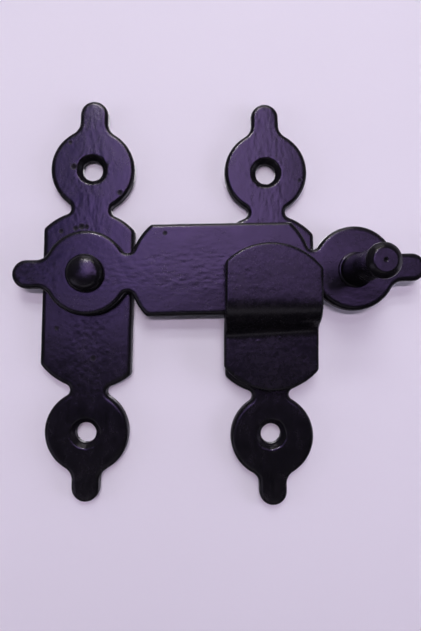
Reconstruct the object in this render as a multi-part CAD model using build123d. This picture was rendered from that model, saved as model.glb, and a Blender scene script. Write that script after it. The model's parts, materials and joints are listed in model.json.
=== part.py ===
from build123d import *
import math
import os

# Gate latch of black-coated steel strap: a pivot plate and a keeper plate that
# screw side by side to a flat face, a swinging bar riveted to the pivot plate,
# a joggled hook on the keeper plate that the bar drops into, and a turned knob
# that lifts the bar.
#
# Row frame: +X along the closed bar from the pivot to the knob, +Z up the
# plates, -Y out of the mounting face towards the person using the latch.
# Origin: midway between the pivot plate's two screw holes, on its back face,
# so both plates' backs lie in the plane Y = 0.
# Each piece is drawn in a working frame (x right, y up, z out of the mounting
# face) and turned into the row frame at the end.

# ---------------------------------------------------------------- driving dimensions (mm)
STRAP_T = 4.0            # thickness of all the flat strap
STRAP_W = 30.0           # width of the pivot plate's straight body
KEEPER_W = 30.5          # width of the keeper plate's straight body
PIVOT_SHIFT = -0.45      # the pivot plate's body sits this far to the side of its holes
KEEPER_SHIFT = 0.4       # the keeper plate's body, the same
BAR_W = 29.9             # width of the bar's straight body
BAR_RISE = 0.68          # the bar's body sits this far above the line through its two lobes
EYE_PITCH = 87.4         # between the two lobe centres of every strap blank
LOBE_R = 13.85           # round lobe at each end
NOTCH_R = 2.0            # round notch between lobe and body, tangent to both
SHOULDER_R = 20.5        # radius of the bowed shoulder between corner and waist
# The blanks were cut freehand, so each body end is its own: distance along the
# strap from the lobe centre to the body's corners, and how far the bow's centre
# sits to the side, first the end towards +y of the blank, then the other.
PIVOT_ENDS = ((19.95, 0.0), (20.9, 1.3))
KEEPER_ENDS = ((20.4, -0.35), (20.1, -0.6))
BAR_ENDS = ((20.5, 0.0), (20.2, 1.0))
# how far each end's lobe and tongue sit from where their hole is, in the same order
PIVOT_LOBES = ((0.2, 0.1), (0.35, 0.3))
KEEPER_LOBES = ((0.0, 0.4), (0.35, -0.75))
BAR_LOBES = ((0.0, 0.0), (-0.2, 0.0))
CORNER_R = 1.7           # rounding of the body's corners
FINGER_W = 9.2           # tongue beyond the lobe
FINGER_REACH = 23.0      # lobe centre to the tongue's tip
BAR_REACH = 23.65        # the same on the bar
FLARE_R = 4.5            # sweep from the lobe into the tongue
EDGE_R = 1.4             # sheared and coated edge, visible side
BACK_EDGE_R = 0.3        # edge on the hidden side

SCREW_R = 3.35           # screw hole
SINK_R = 5.05            # rim of the countersink
SINK_EDGE_R = 0.25       # softened rim

PLATE_PITCH = 59.8       # pivot plate's centre line to the keeper plate's centre line
KEEPER_DROP = 0.69       # keeper plate's middle below the pivot plate's middle
PIVOT_LEAN = -1.33       # degrees that the pivot plate leans, counter-clockwise from upright
KEEPER_LEAN = 1.07       # the same for the keeper plate
PIVOT_UP = 8.6           # pivot axis above the middle of the pivot plate
BAR_TILT = 1.25          # degrees that the resting bar rises towards the knob
RUN_GAP = 0.10           # bar clear of the washer behind it and of the rivet head in front

WASHER_T = 1.0           # spacer between the pivot plate and the bar
WASHER_R = 9.0
WASHER_BORE_R = 4.2

RIVET_SHANK_R = 4.0
RIVET_CLEAR = 0.05       # radial running clearance in the bar
RIVET_HEAD_R = 6.2
RIVET_HEAD_H = 4.2
RIVET_CROWN_R = 15.0     # low crown of the hammered head
RIVET_SHOULDER_R = 3.0   # tight round between crown and side
RIVET_TAIL_R = 5.4       # tail spread into a countersink at the back
RIVET_TAIL_H = 1.6

KNOB_SPIGOT_R = 3.0      # knob's tail, closed in the bar
KNOB_DOWN = 0.6          # the knob's hole sits this far below the lobe's centre
KNOB_ALONG = 0.25        # and this far towards the tongue
KNOB_BASE_R = 5.85
KNOB_COLLAR_H = 0.7
KNOB_WAIST_R = 4.4       # slimmest, three quarters of the way up
KNOB_RIM_R = 5.2 
KNOB_RIM_UP = 25.2       # bar's face to the widest line of the knob's head
KNOB_H = 26.7            # bar's face to the knob's end
KNOB_END_R = 3.4         # flat end inside the bevel
KNOB_CENTRE_R = 0.55     # lathe centre mark in the end
KNOB_CENTRE_D = 0.7

HOOK_W = 31.0
HOOK_SIDE = 0.44         # hook's centre line to the right of the keeper plate's
HOOK_FACE_UP = 14.9      # front of the hook's upper flange, out from the mounting face
# The joggle was bent a little out of square, so it runs out faster on the right.
# Each side edge: start of the upper bend in Z, bend angle, outside radius of the
# upper bend, visible radius of the lower bend.
HOOK_LEFT = (0.2, 47.0, 11.2, 3.0)
HOOK_RIGHT = (-0.6, 60.0, 7.8, 2.6)
# The ends were cut a little askew: apex in Z, bow radius, bow's centre in x.
HOOK_TOP = (18.1, 20.5, -0.9)
HOOK_BOTTOM = (-29.7, 19.8, 0.4)
HOOK_CORNER_R = 1.6
HOOK_EDGE_R = 0.95

# ---------------------------------------------------------------- strap blank
HALF = EYE_PITCH / 2


def notches(lobe, shoulder):
    """The waist between two round outlines, each (x, y, radius), with a round
    notch on both sides that runs smoothly into them."""
    (ax, ay, ar), (bx, by, br) = lobe, shoulder
    gap = math.hypot(bx - ax, by - ay)
    ux, uy = (bx - ax) / gap, (by - ay) / gap
    ra, rb = ar + NOTCH_R, br + NOTCH_R
    along = (gap ** 2 + ra ** 2 - rb ** 2) / (2 * gap)
    out = math.sqrt(ra ** 2 - along ** 2)
    sides = []
    for k in (1, -1):
        cx, cy = ax + ux * along - k * uy * out, ay + uy * along + k * ux * out
        on_a = (ax + (cx - ax) * ar / ra, ay + (cy - ay) * ar / ra)
        on_b = (bx + (cx - bx) * br / rb, by + (cy - by) * br / rb)
        mx, my = (on_a[0] + on_b[0]) / 2 - cx, (on_a[1] + on_b[1]) / 2 - cy
        m = NOTCH_R / math.hypot(mx, my)
        sides.append((on_a, (cx + mx * m, cy + my * m), on_b))
    (a1, m1, b1), (a2, m2, b2) = sides
    return make_face([ThreePointArc(a1, m1, b1), Line(b1, b2), ThreePointArc(b2, m2, a2), Line(a2, a1)])


def strap_outline(width, ends, lobes, rise=0.0, reach=FINGER_REACH):
    """Outline of one blank, lobes near (0, +-HALF); its long axis is y.
    rise shifts the straight body sideways, along +x."""
    band = Pos(rise, 0) * Rectangle(width, 2 * (HALF + reach))
    face = Pos(rise, 0) * Rectangle(width, 30)
    for s, (inset, side), (dx, dy) in zip((1, -1), ends, lobes):
        arc_y = HALF - inset - math.sqrt(SHOULDER_R ** 2 - (width / 2) ** 2)
        face += Pos(rise + side, s * arc_y) * Circle(SHOULDER_R) & band
        face += notches((dx, s * HALF + dy, LOBE_R), (rise + side, s * arc_y, SHOULDER_R))
        face += Pos(dx, s * HALF + dy) * Circle(LOBE_R)
        face += Pos(dx, s * (HALF + reach - FINGER_W / 2) + dy) * Circle(FINGER_W / 2)
        face += Pos(dx, s * (HALF + (reach - FINGER_W / 2) / 2) + dy) * Rectangle(
            FINGER_W, reach - FINGER_W / 2)

    # tongues swept into the lobes
    for s, (dx, dy) in zip((1, -1), lobes):
        flare = [v for v in face.vertices() if abs(abs(v.X - dx) - FINGER_W / 2) < 0.05
                 and HALF + 5 < s * (v.Y - dy) < HALF + LOBE_R + 0.5]
        face = fillet(flare, FLARE_R)
    # body corners
    corners = [v for v in face.vertices() if abs(abs(v.X - rise) - width / 2) < 0.05 and 16 < abs(v.Y) < HALF]
    face = fillet(corners, CORNER_R)
    return face


def rim_edges(part, z):
    """Outline edges of the part that lie in the plane at height z."""
    found = []
    for e in part.edges():
        b = e.bounding_box()
        if abs(b.min.Z - z) < 1e-4 and abs(b.max.Z - z) < 1e-4:
            found.append(e)
    return found


def ease(part, z, r):
    """Round the outline edges of the flat face at height z."""
    return fillet(rim_edges(part, z), r)


def strap(width, ends, lobes, rise=0.0, reach=FINGER_REACH):
    blank = extrude(strap_outline(width, ends, lobes, rise, reach), STRAP_T)
    blank = ease(blank, STRAP_T, EDGE_R)
    blank = ease(blank, 0.0, BACK_EDGE_R)
    return blank


def countersunk(part, y):
    """Screw hole with a countersink in the front face and a softened rim."""
    depth = SINK_R - SCREW_R
    r = SINK_EDGE_R
    tool = Pos(0, y, STRAP_T / 2) * Cylinder(SCREW_R, STRAP_T + 2)
    cone = Pos(0, y, STRAP_T - depth / 2 + 0.0) * Cone(SCREW_R, SINK_R, depth)
    lip = Pos(0, y, STRAP_T + 0.5) * Cylinder(SINK_R, 1.0)
    part = part - tool - cone - lip
    rim = [e for e in part.edges().filter_by(GeomType.CIRCLE)
           if abs(e.radius - SINK_R) < 1e-3 and abs(e.center().Y - y) < 1e-2
           and abs(e.bounding_box().max.Z - STRAP_T) < 1e-3]
    return fillet(rim, r)


# ---------------------------------------------------------------- pivot plate
pivot_plate = strap(STRAP_W, PIVOT_ENDS, PIVOT_LOBES, PIVOT_SHIFT)
for s in (1, -1):
    pivot_plate = countersunk(pivot_plate, s * HALF)
pivot_plate = Rot(0, 0, PIVOT_LEAN) * pivot_plate
pivot_plate -= Pos(0, PIVOT_UP, STRAP_T / 2) * Cylinder(RIVET_SHANK_R, STRAP_T + 2)
pivot_plate -= Pos(0, PIVOT_UP, RIVET_TAIL_H / 2) * Cone(RIVET_TAIL_R, RIVET_SHANK_R, RIVET_TAIL_H)

# ---------------------------------------------------------------- keeper plate
keeper_plate = strap(KEEPER_W, KEEPER_ENDS, KEEPER_LOBES, KEEPER_SHIFT)
for s in (1, -1):
    keeper_plate = countersunk(keeper_plate, s * HALF)
keeper_plate = Pos(PLATE_PITCH, -KEEPER_DROP, 0) * Rot(0, 0, KEEPER_LEAN) * keeper_plate

# ---------------------------------------------------------------- swinging bar
BAR_BACK = STRAP_T + WASHER_T + RUN_GAP
BAR_FACE = BAR_BACK + STRAP_T
AT_PIVOT = Pos(0, PIVOT_UP, 0) * Rot(0, 0, BAR_TILT)   # bar's own frame, pivot at its origin
bar = strap(BAR_W, BAR_ENDS, BAR_LOBES, -BAR_RISE, BAR_REACH)
bar = Rot(0, 0, -90) * bar                      # long axis along +x, body rise along +y
bar = Pos(HALF, 0, BAR_BACK) * bar               # left lobe on the pivot axis
bar -= Pos(0, 0, BAR_BACK + STRAP_T / 2) * Cylinder(RIVET_SHANK_R + RIVET_CLEAR, STRAP_T + 2)
bar -= Pos(EYE_PITCH + KNOB_ALONG, -KNOB_DOWN, BAR_BACK + STRAP_T / 2) * Cylinder(KNOB_SPIGOT_R, STRAP_T + 2)
bar = AT_PIVOT * bar

# ---------------------------------------------------------------- spacer washer
pivot_washer = Pos(0, PIVOT_UP, STRAP_T + WASHER_T / 2) * (
    Cylinder(WASHER_R, WASHER_T) - Cylinder(WASHER_BORE_R, WASHER_T + 1))
pivot_washer = chamfer(pivot_washer.edges().filter_by(GeomType.CIRCLE).sort_by(SortBy.RADIUS)[-2:], 0.15)

# ---------------------------------------------------------------- pivot rivet
# half section in (r, z): tail in the plate, shank, low hammered head
head_z = BAR_FACE + RUN_GAP
top_z = head_z + RIVET_HEAD_H
crown_c = top_z - RIVET_CROWN_R                       # centre of the crown arc, on the axis
side_h = 0.5                                          # short upright side
sc_r = RIVET_HEAD_R - RIVET_SHOULDER_R                # centre of the shoulder arc
sc_z = crown_c + math.sqrt((RIVET_CROWN_R - RIVET_SHOULDER_R) ** 2 - sc_r ** 2)
ang = math.atan2(sc_z - crown_c, sc_r)
tan_pt = (RIVET_CROWN_R * math.cos(ang), crown_c + RIVET_CROWN_R * math.sin(ang))
crown_mid = math.radians(90) - (math.radians(90) - ang) / 2
crown_pt = (RIVET_CROWN_R * math.cos(crown_mid), crown_c + RIVET_CROWN_R * math.sin(crown_mid))
sh_mid = ang / 2
sh_pt = (sc_r + RIVET_SHOULDER_R * math.cos(sh_mid), sc_z + RIVET_SHOULDER_R * math.sin(sh_mid))
rivet_line = [
    Line((0, 0), (RIVET_TAIL_R, 0)),
    Line((RIVET_TAIL_R, 0), (RIVET_SHANK_R, RIVET_TAIL_H)),
    Line((RIVET_SHANK_R, RIVET_TAIL_H), (RIVET_SHANK_R, head_z)),
    Line((RIVET_SHANK_R, head_z), (RIVET_HEAD_R - 0.25, head_z)),
    Line((RIVET_HEAD_R - 0.25, head_z), (RIVET_HEAD_R, head_z + 0.25)),
    Line((RIVET_HEAD_R, head_z + 0.25), (RIVET_HEAD_R, sc_z)),
    ThreePointArc((RIVET_HEAD_R, sc_z), sh_pt, tan_pt),
    ThreePointArc(tan_pt, crown_pt, (0, top_z)),
    Line((0, top_z), (0, 0)),
]
rivet_face = make_face([Plane.XZ * e for e in rivet_line])
pivot_rivet = Pos(0, PIVOT_UP, 0) * revolve(rivet_face, Axis.Z, 360)

# ---------------------------------------------------------------- lift knob
# half section in (r, h) above the bar's face: spigot, collar, hollow waist, head
k0 = BAR_FACE
knob_line = [
    Line((0, k0 - STRAP_T), (KNOB_SPIGOT_R, k0 - STRAP_T)),
    Line((KNOB_SPIGOT_R, k0 - STRAP_T), (KNOB_SPIGOT_R, k0)),
    Line((KNOB_SPIGOT_R, k0), (KNOB_BASE_R, k0)),
    Line((KNOB_BASE_R, k0), (KNOB_BASE_R, k0 + KNOB_COLLAR_H - 0.25)),
    Line((KNOB_BASE_R, k0 + KNOB_COLLAR_H - 0.25), (KNOB_BASE_R - 0.25, k0 + KNOB_COLLAR_H)),
    Line((KNOB_BASE_R - 0.25, k0 + KNOB_COLLAR_H), (5.05, k0 + KNOB_COLLAR_H)),
    Spline([(5.05, k0 + KNOB_COLLAR_H), (4.92, k0 + 4.0), (4.62, k0 + 12.0),
            (KNOB_WAIST_R, k0 + 20.0), (KNOB_RIM_R - 0.12, k0 + KNOB_RIM_UP - 0.55)],
           tangents=[(-0.02, 1.0), (0.16, 1.0)]),
    Line((KNOB_RIM_R - 0.12, k0 + KNOB_RIM_UP - 0.55), (KNOB_RIM_R, k0 + KNOB_RIM_UP - 0.2)),
    Line((KNOB_RIM_R, k0 + KNOB_RIM_UP - 0.2), (KNOB_RIM_R - 0.12, k0 + KNOB_RIM_UP + 0.05)),
    ThreePointArc((KNOB_RIM_R - 0.12, k0 + KNOB_RIM_UP + 0.05),
                  ((KNOB_RIM_R + KNOB_END_R) / 2 + 0.05, k0 + (KNOB_RIM_UP + KNOB_H) / 2 + 0.12),
                  (KNOB_END_R, k0 + KNOB_H)),
    Line((KNOB_END_R, k0 + KNOB_H), (KNOB_CENTRE_R, k0 + KNOB_H)),
    Line((KNOB_CENTRE_R, k0 + KNOB_H), (0, k0 + KNOB_H - KNOB_CENTRE_D)),
    Line((0, k0 + KNOB_H - KNOB_CENTRE_D), (0, k0 - STRAP_T)),
]
knob_face = make_face([Plane.XZ * e for e in knob_line])
lift_knob = AT_PIVOT * Pos(EYE_PITCH + KNOB_ALONG, -KNOB_DOWN, 0) * revolve(knob_face, Axis.Z, 360)

# ---------------------------------------------------------------- keeper hook
# side profile in (y, z): foot on the plate, joggle, upper flange in front of the bar
zf = STRAP_T                                   # back of the foot, on the plate's face
FOOT_FACE = zf + STRAP_T
far_dn, far_up = HOOK_BOTTOM[0] - 6, HOOK_TOP[0] + 6


def joggle(x, start, angle, r_out, r_foot):
    """Closed side outline of the bent part of the strip at x, its visible line,
    and where the bend ends on the foot."""
    a = math.radians(angle)
    s, c = math.sin(a), math.cos(a)
    drop = HOOK_FACE_UP - FOOT_FACE
    run = (drop - (r_out + r_foot) * (1 - c)) / s          # straight part of the web
    up_c = (start, HOOK_FACE_UP - r_out)                   # centre of the upper bend
    foot = start - (r_out + r_foot) * s - run * c          # end of the lower bend
    dn_c = (foot, FOOT_FACE + r_foot)                      # centre of the lower bend

    def at(centre, r, t, side):
        return (x, centre[0] + side * -r * math.sin(t), centre[1] + side * r * math.cos(t))

    r_in, r_back = r_out - STRAP_T, r_foot + STRAP_T
    f = [at(up_c, r_out, t, 1) for t in (0, a / 2, a)] + [at(dn_c, r_foot, t, -1) for t in (a, a / 2, 0)]
    k = [at(dn_c, r_back, t, -1) for t in (0, a / 2, a)] + [at(up_c, r_in, t, 1) for t in (a, a / 2, 0)]
    lines = []
    for p in (f, k):
        lines += [ThreePointArc(p[0], p[1], p[2]), Line(p[2], p[3]), ThreePointArc(p[3], p[4], p[5])]
    visible = lines[:3]
    lines += [Line(f[5], k[0]), Line(k[5], f[0])]
    return make_face(lines), visible, foot


def flange(y_left, y_right, y_far, z_back):
    """Flat part of the strip, from the slanted bend line outwards."""
    w = HOOK_W / 2
    plan = Polyline((-w, y_left), (w, y_right), (w, y_far), (-w, y_far), close=True)
    return Pos(0, 0, z_back) * extrude(make_face(plan), STRAP_T, dir=(0, 0, 1))


left_side, left_line, left_foot = joggle(-HOOK_W / 2, *HOOK_LEFT)
right_side, right_line, right_foot = joggle(HOOK_W / 2, *HOOK_RIGHT)
hook_strip = loft([left_side, right_side], ruled=True)
hook_strip += flange(HOOK_LEFT[0], HOOK_RIGHT[0], far_up, HOOK_FACE_UP - STRAP_T)
hook_strip += flange(left_foot, right_foot, far_dn, zf)


def cap(apex, radius, side, up):
    """Everything on the strip's side of one bowed end."""
    centre = apex - up * radius
    return Pos(side, centre) * Circle(radius) + Pos(0, centre - up * 50) * Rectangle(60, 100)


front_shape = Rectangle(HOOK_W, 120) & cap(*HOOK_TOP, 1) & cap(*HOOK_BOTTOM, -1)
front_shape = fillet(front_shape.vertices(), HOOK_CORNER_R)
keeper_hook = hook_strip & extrude(front_shape, 40)
# visible edges softened all round the strip, foot to top
vis = []
for e in keeper_hook.edges():
    m = e @ 0.5
    box = e.bounding_box()
    if box.size.X > 20 and box.size.Y < 3.0:                # bend lines across the strip
        continue
    flat = any(abs(box.min.Z - z) < 1e-3 and abs(box.max.Z - z) < 1e-3 for z in (FOOT_FACE, HOOK_FACE_UP))
    on_side = abs(abs(m.X) - HOOK_W / 2) < 1e-3 and box.size.X < 1e-3
    chain = left_line if m.X < 0 else right_line
    if flat or (on_side and min(c.distance_to(Vertex(m.X, m.Y, m.Z)) for c in chain) < 1e-3):
        vis.append(e)
keeper_hook = fillet(vis, HOOK_EDGE_R)
keeper_hook = Pos(PLATE_PITCH + HOOK_SIDE, 0, 0) * keeper_hook

# ---------------------------------------------------------------- into the row frame and out
pieces = {
    "pivot_plate": pivot_plate,
    "keeper_plate": keeper_plate,
    "keeper_hook": keeper_hook,
    "latch_bar": bar,
    "pivot_rivet": pivot_rivet,
    "pivot_washer": pivot_washer,
    "lift_knob": lift_knob,
}
os.makedirs("parts", exist_ok=True)
for name, shape in pieces.items():
    placed = Plane.XZ * shape
    solids = placed.solids()
    out = solids[0] if len(solids) == 1 else placed
    export_step(out, f"parts/{name}.step")
    box = out.bounding_box()
    print(f"{name:14s} solids {len(solids)}  volume {out.volume:9.1f}  "
          f"x {box.min.X:7.2f} {box.max.X:7.2f}  y {box.min.Y:7.2f} {box.max.Y:7.2f}  "
          f"z {box.min.Z:7.2f} {box.max.Z:7.2f}")
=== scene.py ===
import json
import math

import bmesh
import bpy
import numpy as np
from mathutils import Matrix, Vector, noise


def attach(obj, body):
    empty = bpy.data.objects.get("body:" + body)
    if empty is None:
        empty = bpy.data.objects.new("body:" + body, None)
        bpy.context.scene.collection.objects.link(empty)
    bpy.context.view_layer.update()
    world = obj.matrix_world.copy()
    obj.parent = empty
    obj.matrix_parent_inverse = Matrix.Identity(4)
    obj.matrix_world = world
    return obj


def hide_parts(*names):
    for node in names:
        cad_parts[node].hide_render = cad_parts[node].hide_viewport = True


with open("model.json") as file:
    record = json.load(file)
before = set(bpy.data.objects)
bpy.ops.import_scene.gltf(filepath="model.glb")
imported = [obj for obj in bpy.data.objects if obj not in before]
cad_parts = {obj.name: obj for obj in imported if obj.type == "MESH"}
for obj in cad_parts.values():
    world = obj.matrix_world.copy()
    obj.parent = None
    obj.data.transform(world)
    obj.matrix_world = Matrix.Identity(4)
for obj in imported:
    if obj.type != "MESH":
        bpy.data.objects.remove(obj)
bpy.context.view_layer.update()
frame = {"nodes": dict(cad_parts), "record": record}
nodes = frame["nodes"]
scene = bpy.context.scene
scene.view_settings.view_transform = "Standard"

MM = 0.001

# ---------------------------------------------------------------- camera
# The photograph is taken square on, from about 175 mm in front of the plates.
TURN = ((0.99962775, -0.00095692, 0.02726612), (0.00051546, 0.99986875, 0.01619305), (-0.02727804, -0.01617296, 0.99949705))
LENS_PX = 512.15

cam_data = bpy.data.cameras.new("photo_camera")
camera = bpy.data.objects.new("photo_camera", cam_data)
scene.collection.objects.link(camera)
scene.camera = camera
axes = [Vector((r[0], -r[2], r[1])) for r in TURN]
turn = Matrix((axes[0], axes[1], axes[2])).transposed().to_4x4()
camera.matrix_world = Matrix.Translation((0.035695, -0.174216, -0.007599)) @ turn
cam_data.sensor_fit = "AUTO"
cam_data.sensor_width = 36.0
cam_data.lens = LENS_PX / 631 * 36.0
cam_data.clip_start = 0.005
cam_data.clip_end = 20.0


# ---------------------------------------------------------------- node helpers
class Tree:
    def __init__(self, owner):
        owner.use_nodes = True
        self.t = owner.node_tree
        self.t.nodes.clear()

    def add(self, kind, values=None, **settings):
        n = self.t.nodes.new(kind)
        for k, v in settings.items():
            setattr(n, k, v)
        for k, v in (values or {}).items():
            n.inputs[k].default_value = v
        return n

    def link(self, a, b):
        self.t.links.new(a, b)

    def math(self, op, a, b=None, c=None, clamp=False):
        n = self.add("ShaderNodeMath", operation=op, use_clamp=clamp)
        for i, v in enumerate((a, b, c)):
            if v is None:
                continue
            if isinstance(v, (int, float)):
                n.inputs[i].default_value = v
            else:
                self.link(v, n.inputs[i])
        return n.outputs[0]

    def noise(self, vector, scale, detail=2.0, rough=0.5, distort=0.0, stretch=None, offset=(0, 0, 0)):
        """Noise over object space; scale is in features per millimetre."""
        m = self.add("ShaderNodeMapping")
        s = stretch or (1, 1, 1)
        m.inputs["Scale"].default_value = tuple(1000 * scale * k for k in s)
        m.inputs["Location"].default_value = offset
        self.link(vector, m.inputs["Vector"])
        n = self.add("ShaderNodeTexNoise", {"Scale": 1.0, "Detail": detail, "Roughness": rough, "Distortion": distort})
        self.link(m.outputs[0], n.inputs["Vector"])
        return n.outputs["Fac"]

    def ramp(self, fac, stops, interpolation="LINEAR"):
        n = self.add("ShaderNodeValToRGB")
        n.color_ramp.interpolation = interpolation
        e = n.color_ramp.elements
        while len(e) < len(stops):
            e.new(0.5)
        for k, (at, colour) in zip(e, stops):
            k.position = at
            k.color = (*colour, 1) if len(colour) == 3 else colour
        self.link(fac, n.inputs[0])
        return n.outputs["Color"]

    def span(self, value, a, b, c, d):
        n = self.add("ShaderNodeMapRange", {"From Min": a, "From Max": b, "To Min": c, "To Max": d})
        self.link(value, n.inputs["Value"])
        return n.outputs[0]


# ---------------------------------------------------------------- the black coat
def coat(name, seed, grain=(1, 1, 1), peel=1.0, rough=0.235, gloss=0.5, pitted=False):
    """Satin black powder coat over hot-rolled strap: flow marks along the strap, orange peel, fine grain, dull and dusty patches."""
    mat = bpy.data.materials.new(name)
    t = Tree(mat)
    where = t.add("ShaderNodeTexCoord").outputs["Object"]
    off = (seed * 7.31, seed * 3.17, seed * 5.77)

    cloudy = t.noise(where, 0.09, 3.0, 0.55, 0.4, offset=off)
    mottle = t.noise(where, 0.55, 4.0, 0.6, 0.6, stretch=grain, offset=off)
    fine = t.noise(where, 3.2, 2.0, 0.6, offset=off)
    speck = t.noise(where, 1.9, 1.0, 0.5, offset=(off[1], off[2], off[0]))

    # colour: near black, cooler where the coat is thick, browner and dustier where it is thin
    tone = t.math("ADD", t.math("MULTIPLY", cloudy, 0.55), t.math("MULTIPLY", mottle, 0.45))
    colour = t.ramp(tone, [(0.25, (0.0030, 0.0030, 0.0038)), (0.5, (0.0047, 0.0045, 0.0051)), (0.75, (0.0080, 0.0073, 0.0077))])
    dust = t.ramp(speck, [(0.70, (0, 0, 0)), (0.80, (1, 1, 1))])
    blend = t.add("ShaderNodeMix", data_type="RGBA")
    blend.inputs[7].default_value = (0.030, 0.027, 0.031, 1)
    t.link(t.math("MULTIPLY", dust, 0.35), blend.inputs[0])
    t.link(colour, blend.inputs[6])

    # roughness: mottled, a little duller in the grain
    r = t.math("ADD", t.span(mottle, 0.3, 0.7, rough - 0.045, rough + 0.045), t.span(cloudy, 0.3, 0.7, -0.025, 0.025))
    r = t.math("ADD", r, t.math("MULTIPLY", t.math("SUBTRACT", fine, 0.5), 0.14))

    # the pits are bare and dull inside
    if pitted:
        pit = t.add("ShaderNodeAttribute")
        pit.attribute_name = "pit"
        r = t.math("ADD", r, t.math("MULTIPLY", pit.outputs["Fac"], 0.6))

    # relief finer than the mesh carries: orange peel, flow marks and grain, in metres
    p1 = t.noise(where, 0.75, 2.0, 0.5, 0.3, stretch=grain, offset=off)
    p2 = t.noise(where, 1.7, 2.0, 0.5, 0.2, offset=off)
    b1 = t.add("ShaderNodeBump", {"Strength": 1.0, "Distance": 0.020 * MM * peel})
    t.link(p1, b1.inputs["Height"])
    b2 = t.add("ShaderNodeBump", {"Strength": 1.0, "Distance": 0.010 * MM * peel})
    t.link(p2, b2.inputs["Height"])
    t.link(b1.outputs[0], b2.inputs["Normal"])
    b3 = t.add("ShaderNodeBump", {"Strength": 1.0, "Distance": 0.0055 * MM * min(peel, 1.0)})
    t.link(fine, b3.inputs["Height"])
    t.link(b2.outputs[0], b3.inputs["Normal"])

    s = t.add("ShaderNodeBsdfPrincipled")
    s.inputs["Specular IOR Level"].default_value = gloss
    s.inputs["IOR"].default_value = 1.5
    t.link(blend.outputs[2], s.inputs["Base Color"])
    t.link(r, s.inputs["Roughness"])
    t.link(b3.outputs[0], s.inputs["Normal"])
    out = t.add("ShaderNodeOutputMaterial")
    t.link(s.outputs[0], out.inputs["Surface"])
    return mat


# ---------------------------------------------------------------- the coated pieces
def fbm(p, octaves=2):
    return sum(noise.noise(p * (2.03 ** k)) / (1.9 ** k) for k in range(octaves))


def smooth(a, b, x):
    t = min(1.0, max(0.0, (x - a) / (b - a)))
    return t * t * (3 - 2 * t)


def skin(node, voxel, relief, material, soften=None, times=0):
    """A dense closed copy of the CAD node, with the coat's own relief in its mesh, that stands for the node."""
    bm = bmesh.new()
    bm.from_mesh(nodes[node].data)
    bmesh.ops.remove_doubles(bm, verts=bm.verts, dist=2e-7)
    raw = bpy.data.meshes.new(node + "_raw")
    bm.to_mesh(raw)
    bm.free()
    obj = bpy.data.objects.new(node + "_coated", raw)
    scene.collection.objects.link(obj)
    mod = obj.modifiers.new("even", "REMESH")
    mod.mode = "VOXEL"
    mod.voxel_size = voxel * MM
    mod.adaptivity = 0.0
    dg = bpy.context.evaluated_depsgraph_get()
    mesh = bpy.data.meshes.new_from_object(obj.evaluated_get(dg))
    obj.modifiers.clear()
    obj.data = mesh
    bpy.data.meshes.remove(raw)
    n = len(mesh.vertices)
    co = np.zeros(n * 3, np.float32)
    no = np.zeros(n * 3, np.float32)
    mesh.vertices.foreach_get("co", co)
    mesh.vertex_normals.foreach_get("vector", no)
    co, no = co.reshape(-1, 3).astype(float), no.reshape(-1, 3).astype(float)
    if soften:
        weight = np.array([soften(Vector(p) * 1000, Vector(q)) for p, q in zip(co, no)])[:, None] * 0.5
        ends = np.zeros(len(mesh.edges) * 2, np.int32)
        mesh.edges.foreach_get("vertices", ends)
        a, b = ends[0::2], ends[1::2]
        count = (np.bincount(a, minlength=n) + np.bincount(b, minlength=n))[:, None]
        for _ in range(times):
            near = np.stack([np.bincount(a, co[b, k], n) + np.bincount(b, co[a, k], n) for k in range(3)], axis=1)
            co = co + weight * (near / count - co)
    d = np.array([relief(Vector(p) * 1000, Vector(q)) for p, q in zip(co, no)])
    co = co + no * (d * MM)[:, None]
    mesh.vertices.foreach_set("co", co.astype(np.float32).ravel())
    pit = np.zeros(n)
    for x, z, r, depth, rim in PITTED.get(node, ()):
        if depth < 0:
            pit = np.maximum(pit, np.clip(1.7 - np.hypot(co[:, 0] * 1000 - x, co[:, 2] * 1000 - z) / r, 0, 1))
    mesh.attributes.new("pit", "FLOAT", "POINT").data.foreach_set("value", (pit * (no[:, 1] < -0.3)).astype(np.float32))
    mesh.polygons.foreach_set("use_smooth", [True] * len(mesh.polygons))
    mesh.update()
    mesh.materials.clear()
    mesh.materials.append(material)
    print("skin", node, n, len(mesh.polygons))
    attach(obj, BODY[node])
    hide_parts(node)
    return obj


BODY = {n: b for b, members in frame["record"]["behaviour"]["bodies"].items() for n in members}


def marks(p, spots):
    """Pits (depth below 0) and lumps (above 0): each (x, z, radius, depth, rim)."""
    d = 0.0
    for x, z, r, depth, rim in spots:
        k = math.hypot(p.x - x, p.z - z) / r
        if k < 2.5:
            d += depth * (3.3 * max(0.0, 1 - k) if depth < 0 else math.exp(-k * k * 1.6)) + 0.2 * rim * math.exp(-((k - 1.4) / 0.35) ** 2)
    return d


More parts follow.
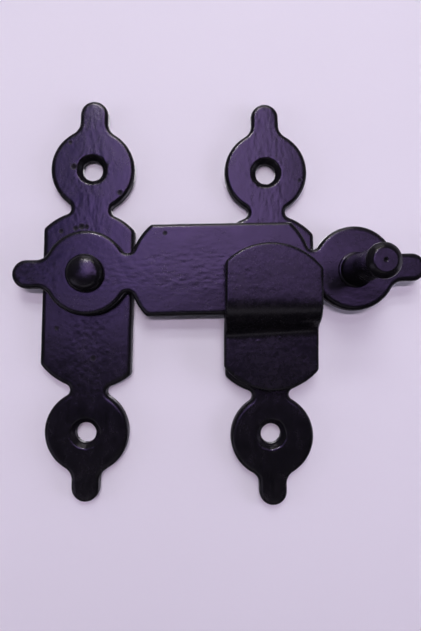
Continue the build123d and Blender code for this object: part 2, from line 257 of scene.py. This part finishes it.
def strap_relief(seed, along, line, holes, spots, flow=1.0, peel=1.0, mottle=None, fade=1000):
    """Relief of a coated strap: rolled flow marks in the middle band, orange peel all over, ragged coat round the holes."""
    a = Vector(along).normalized()

    def relief(p, n):
        front = smooth(0.35, -0.2, n.y)
        if front <= 0:
            return 0.0
        rel = p - Vector(line)
        u, v = rel.dot(a), rel.x * a.z - rel.z * a.x
        wander = 1.6 * noise.noise(Vector((u * 0.06, seed * 3.1, 0)))
        band = smooth(8.5, 3.5, abs(v + wander)) * smooth(fade + 12, fade, u)
        z = seed * 13.7
        d = 0.050 * fbm(Vector((u * 0.075, v * 0.09, z)), 2)
        if band > 0:
            d += 0.034 * flow * band * fbm(Vector((u * 0.30, v * 1.05, z + 3)), 2)
        d += (0.010 + 0.010 * band) * peel * fbm(Vector((u * 0.60, v * 0.70, z + 9)), 2)
        d += 0.008 * peel * noise.noise(Vector((u * 1.35, v * 1.45, p.y + z)))
        if mottle:
            lo, hi = mottle
            here = band * smooth(lo - 4, lo + 3, u) * smooth(hi + 4, hi - 3, u)
            if here > 0:
                d += 0.021 * here * fbm(Vector((u * 0.60, v * 0.65, z + 15)), 2)
        for hx, hz in holes:
            r = math.hypot(p.x - hx, p.z - hz)
            near = smooth(7.2, 5.2, r) * smooth(2.6, 3.6, r)
            if near > 0:
                d += near * (0.05 * noise.noise(Vector((p.x * 0.9, p.z * 0.9, seed + 40))) + 0.03 * noise.noise(Vector((p.x * 2.2, p.z * 2.2, seed + 50))))
        return front * (d + marks(p, spots))

    return relief


def grain_relief(seed, amount=1.0, spots=(), scale=1.0):
    def relief(p, n):
        front = smooth(0.5, 0.0, n.y)
        q = p * scale
        d = 0.030 * fbm(q * 0.11 + Vector((seed, 0, 0)), 2) + 0.016 * fbm(q * 0.62 + Vector((0, seed, 0)), 2) + 0.012 * noise.noise(q * 1.5 + Vector((0, seed, 7)))
        return amount * front * d + (front * marks(p, spots) if spots else 0.0)

    return relief


plate_a = coat("black_coat_pivot_plate", 1, (0.75, 1, 0.35), peel=1.0, pitted=True)
plate_b = coat("black_coat_keeper_plate", 2, (0.75, 1, 0.35), peel=1.0, pitted=True)
bar_mat = coat("black_coat_bar", 3, (0.30, 1, 0.85), peel=1.1, pitted=True)
hook_mat = coat("black_coat_hook", 4, (1, 1, 1), peel=1.1, rough=0.265, gloss=0.41)
rivet_mat = coat("black_coat_rivet", 5, (1, 1, 1), peel=0.5, rough=0.225, gloss=0.44)
knob_mat = coat("black_coat_knob", 6, (1, 1, 0.6), peel=0.15, rough=0.22, gloss=0.36)
washer_mat = coat("black_coat_washer", 7, (1, 1, 1), peel=0.5, rough=0.30)

PITCH = 43.7


def leaning(x, z, degrees):
    """A plate's long axis, its middle and its two holes, leaning counter-clockwise from upright."""
    c, k = math.cos(math.radians(degrees)), math.sin(math.radians(degrees))
    return (-k, 0, c), (x, 0, z), [(x - PITCH * k, z + PITCH * c), (x + PITCH * k, z - PITCH * c)]


# pits, craters and lumps in the coat: x, z, radius, depth, rim
PIVOT_PLATE_MARKS = [(-4.90, 44.64, 0.75, -0.16, 0.03), (10.30, 36.01, 0.65, -0.13, 0.10), (-6.25, 52.76, 0.50, -0.10, 0.02),
                     (-4.30, 24.05, 0.65, -0.14, 0.02), (-2.40, 24.65, 0.75, -0.17, 0.02), (-0.75, 24.55, 0.60, -0.13, 0.02), (-9.10, 23.10, 0.55, -0.13, 0.0),
                     (-10.49, -9.07, 0.50, -0.10, 0.03), (1.54, -18.98, 0.70, -0.15, 0.05), (6.3, -16.4, 0.5, 0.04, 0.0)]
BAR_MARKS = [(25.54, 21.70, 0.50, -0.10, 0.01), (38.6, 4.2, 0.5, 0.05, 0.0)]
KEEPER_MARKS = [(61.74, -49.55, 0.85, 0.12, 0.0), (59.4, -49.1, 0.6, 0.08, 0.0), (52.45, -32.27, 0.60, -0.12, 0.02), (70.43, 40.61, 0.50, -0.10, 0.02)]
HOOK_MARKS = [(55.68, -13.21, 0.55, 0.10, 0.0), (62.74, -12.12, 0.50, 0.10, 0.0), (51.3, 9.7, 0.5, 0.05, 0.0)]

PITTED = {"pivot_plate": PIVOT_PLATE_MARKS, "keeper_plate": KEEPER_MARKS, "latch_bar": BAR_MARKS}

axis, middle, holes = leaning(0, 0, -1.33)
skin("pivot_plate", 0.30, strap_relief(1, axis, middle, holes, PIVOT_PLATE_MARKS, flow=0.55, mottle=(-26, -2)), plate_a)
axis, middle, holes = leaning(59.8, -0.69, 1.07)
skin("keeper_plate", 0.31, strap_relief(2, axis, middle, holes, KEEPER_MARKS, flow=0.9, mottle=(-60, -30)), plate_b)
tilt = math.radians(1.25)
skin("latch_bar", 0.31, strap_relief(3, (math.cos(tilt), 0, math.sin(tilt)), (0, 0, 9.2), [], BAR_MARKS, flow=0.85, fade=58), bar_mat)
# the two bends of the hook's front run out softly into its flats
skin("keeper_hook", 0.30, grain_relief(4, 1.0, HOOK_MARKS), hook_mat, times=55,
     soften=lambda p, n: smooth(-13, -10.5, p.z) * smooth(8, 5, p.z) * smooth(-0.3, -0.5, n.y) * smooth(0.25, 0.1, abs(n.x)))
skin("pivot_rivet", 0.16, grain_relief(5, 0.8, scale=1.4), rivet_mat)
skin("lift_knob", 0.18, grain_relief(6, 0.05, scale=1.6), knob_mat)
nodes["pivot_washer"].data.materials.clear()
nodes["pivot_washer"].data.materials.append(washer_mat)


# ---------------------------------------------------------------- what it lies on
def slab(name, corners, colour, glow=None):
    mesh = bpy.data.meshes.new(name)
    mesh.from_pydata(corners, [], [(0, 1, 2, 3)])
    obj = bpy.data.objects.new(name, mesh)
    scene.collection.objects.link(obj)
    mat = bpy.data.materials.new(name)
    t = Tree(mat)
    where = t.add("ShaderNodeTexCoord").outputs["Object"]
    soft = t.noise(where, 0.012, 2.0, 0.5)
    tone = t.ramp(soft, [(0.3, tuple(c * 0.985 for c in colour)), (0.7, colour)])
    s = t.add("ShaderNodeBsdfPrincipled", {"Roughness": 0.9, "Specular IOR Level": 0.1})
    t.link(tone, s.inputs["Base Color"])
    if glow:
        s.inputs["Emission Color"].default_value = glow + (1,)
        s.inputs["Emission Strength"].default_value = 1.0
    clear = t.add("ShaderNodeBsdfTransparent")
    mix = t.add("ShaderNodeMixShader")
    geo = t.add("ShaderNodeNewGeometry")
    path = t.add("ShaderNodeLightPath")
    through = t.math("MAXIMUM", geo.outputs["Backfacing"], path.outputs["Is Shadow Ray"])
    t.link(t.math("MAXIMUM", through, t.math("MULTIPLY", path.outputs["Is Glossy Ray"], 0.7)), mix.inputs[0])
    t.link(s.outputs[0], mix.inputs[1])
    t.link(clear.outputs[0], mix.inputs[2])
    out = t.add("ShaderNodeOutputMaterial")
    t.link(mix.outputs[0], out.inputs["Surface"])
    mesh.materials.append(mat)
    return obj


PALE = (0.80, 0.785, 0.82)
wall = slab("pale_wall", [(-3, 0.0002, -0.085), (3, 0.0002, -0.085), (3, 0.0002, 3), (-3, 0.0002, 3)], PALE)
wall_low = slab("pale_wall_low", [(-3, 0.0002, -0.30), (3, 0.0002, -0.30), (3, 0.0002, -0.085), (-3, 0.0002, -0.085)], PALE)
floor = slab("pale_floor", [(-3, -3, -0.30), (3, -3, -0.30), (3, 0.0002, -0.30), (-3, 0.0002, -0.30)], (0.16, 0.155, 0.165), glow=(0.53, 0.475, 0.57))
wall_low.visible_glossy = False
floor.visible_glossy = False
floor.visible_diffuse = False


# ---------------------------------------------------------------- light
def area(name, at, aim, w, h, radiance, colour, diffuse=True, glossy=True, shape="RECTANGLE"):
    """An area light given by how bright its face is."""
    data = bpy.data.lights.new(name, "AREA")
    data.shape = shape
    data.size, data.size_y = w, h
    data.energy = radiance * math.pi * w * h
    data.color = colour
    o = bpy.data.objects.new(name, data)
    scene.collection.objects.link(o)
    o.location = at
    o.rotation_euler = (Vector(aim) - Vector(at)).to_track_quat("-Z", "Y").to_euler()
    o.visible_camera = False
    o.visible_diffuse = diffuse
    o.visible_glossy = glossy
    return o


def toward(azimuth, elevation, distance, centre=(0.03, 0, 0)):
    a, e = math.radians(azimuth), math.radians(elevation)
    return (centre[0] + distance * math.sin(a) * math.cos(e), centre[1] - distance * math.cos(a) * math.cos(e), centre[2] + distance * math.sin(e))


AIM = (0.03, 0, 0)
# three long lamps that light the wall and cast the steps of shadow
area("lamp_low", toward(-2, 7.8, 0.95), AIM, 0.36, 0.055, 54, (1.0, 0.84, 1.06), glossy=False)
area("lamp_mid", toward(2, 28.6, 0.8), AIM, 0.40, 0.070, 12.5, (0.97, 0.98, 1.03), glossy=False)
area("lamp_high", toward(0, 41, 0.8), AIM, 0.32, 0.09, 11.5, (0.97, 0.98, 1.03), glossy=False)
area("overhead", toward(4, 60, 0.6), AIM, 0.6, 0.22, 0.9, (1.0, 0.96, 1.04), glossy=False)
# fill along the wall from both sides, which the raised parts keep out of the middle
area("side_right", toward(70, -5, 0.6), AIM, 0.30, 0.30, 4.6, (0.94, 0.85, 1.14), glossy=False)
area("side_left", toward(-70, -2, 0.6), AIM, 0.30, 0.30, 2.8, (0.94, 0.85, 1.14), glossy=False)
# the broad purple sheen on the flat faces, soft at its sides
for k, half in enumerate((0.165, 0.222, 0.28)):
    area("sheen_%d" % k, (0.035, -1.0 - 0.001 * k, 0.471), (0.035, 0, 0.471), 2 * half, 0.738, 1.33, (0.575, 0.36, 1.0), diffuse=False)
area("sheen_left", (-0.18, -1.01, 0.027), (-0.18, 0, 0.027), 0.42, 0.125, 1.9, (0.56, 0.36, 1.06), diffuse=False)
area("sheen_blue", (-0.21, -1.012, 0.42), (-0.21, 0, 0.42), 0.26, 0.70, 0.75, (0.22, 0.14, 1.0), diffuse=False)
area("sheen_right", (0.39, -1.01, 0.13), (0.39, 0, 0.13), 0.28, 0.16, 2.6, (0.57, 0.345, 1.0), diffuse=False)
# what the rivet and the rounded edges pick up
area("soft_top", (0.05, -0.24, 0.28), (0.05, 0, 0), 0.17, 0.045, 7.5, (1.0, 0.95, 0.92), diffuse=False)
area("edge_top", toward(0, 68, 1.0), AIM, 0.60, 0.30, 0.8, (1.0, 0.93, 0.95), diffuse=False)
area("spot", toward(-10, 37, 1.0), AIM, 0.10, 0.045, 100.0, (1.0, 0.97, 0.94), diffuse=False)
area("low_glow", toward(0, -39, 0.9), AIM, 0.7, 0.30, 0.45, (0.9, 0.82, 1.0), diffuse=False)
# soft panels that show the form from the sides and from behind
area("panel_left", toward(-47, -24, 0.9), AIM, 0.50, 0.36, 0.65, (0.80, 0.72, 1.0), diffuse=False)
area("panel_right", toward(92, -2, 0.9), AIM, 0.50, 0.50, 0.7, (0.80, 0.74, 1.0), diffuse=False)
area("panel_back", toward(135, -16, 0.9), AIM, 0.60, 0.44, 1.3, (0.85, 0.78, 1.0), diffuse=False)
area("panel_above", toward(0, 84, 0.9), AIM, 0.60, 0.30, 0.7, (0.9, 0.84, 1.0), diffuse=False)
area("back", (0.1, 0.9, 0.5), AIM, 0.6, 0.6, 3.0, (0.95, 0.92, 1.0))

world = bpy.data.worlds.new("studio")
scene.world = world
w = Tree(world)
path = w.add("ShaderNodeLightPath")
seen = w.add("ShaderNodeBackground", {"Color": (0.640, 0.575, 0.690, 1), "Strength": 1.0})
fill = w.add("ShaderNodeBackground", {"Strength": 1.0})
updown = w.add("ShaderNodeSeparateXYZ")
w.link(w.add("ShaderNodeTexCoord").outputs["Generated"], updown.inputs[0])
w.link(w.ramp(w.span(updown.outputs["Z"], -1, 1, 0, 1), [(0.45, (0.004, 0.0035, 0.005)), (0.60, (0.03, 0.027, 0.04)), (1.0, (0.13, 0.115, 0.15))]), fill.inputs["Color"])
mixw = w.add("ShaderNodeMixShader")
w.link(path.outputs["Is Camera Ray"], mixw.inputs[0])
w.link(fill.outputs[0], mixw.inputs[1])
w.link(seen.outputs[0], mixw.inputs[2])
outw = w.add("ShaderNodeOutputWorld")
w.link(mixw.outputs[0], outw.inputs["Surface"])
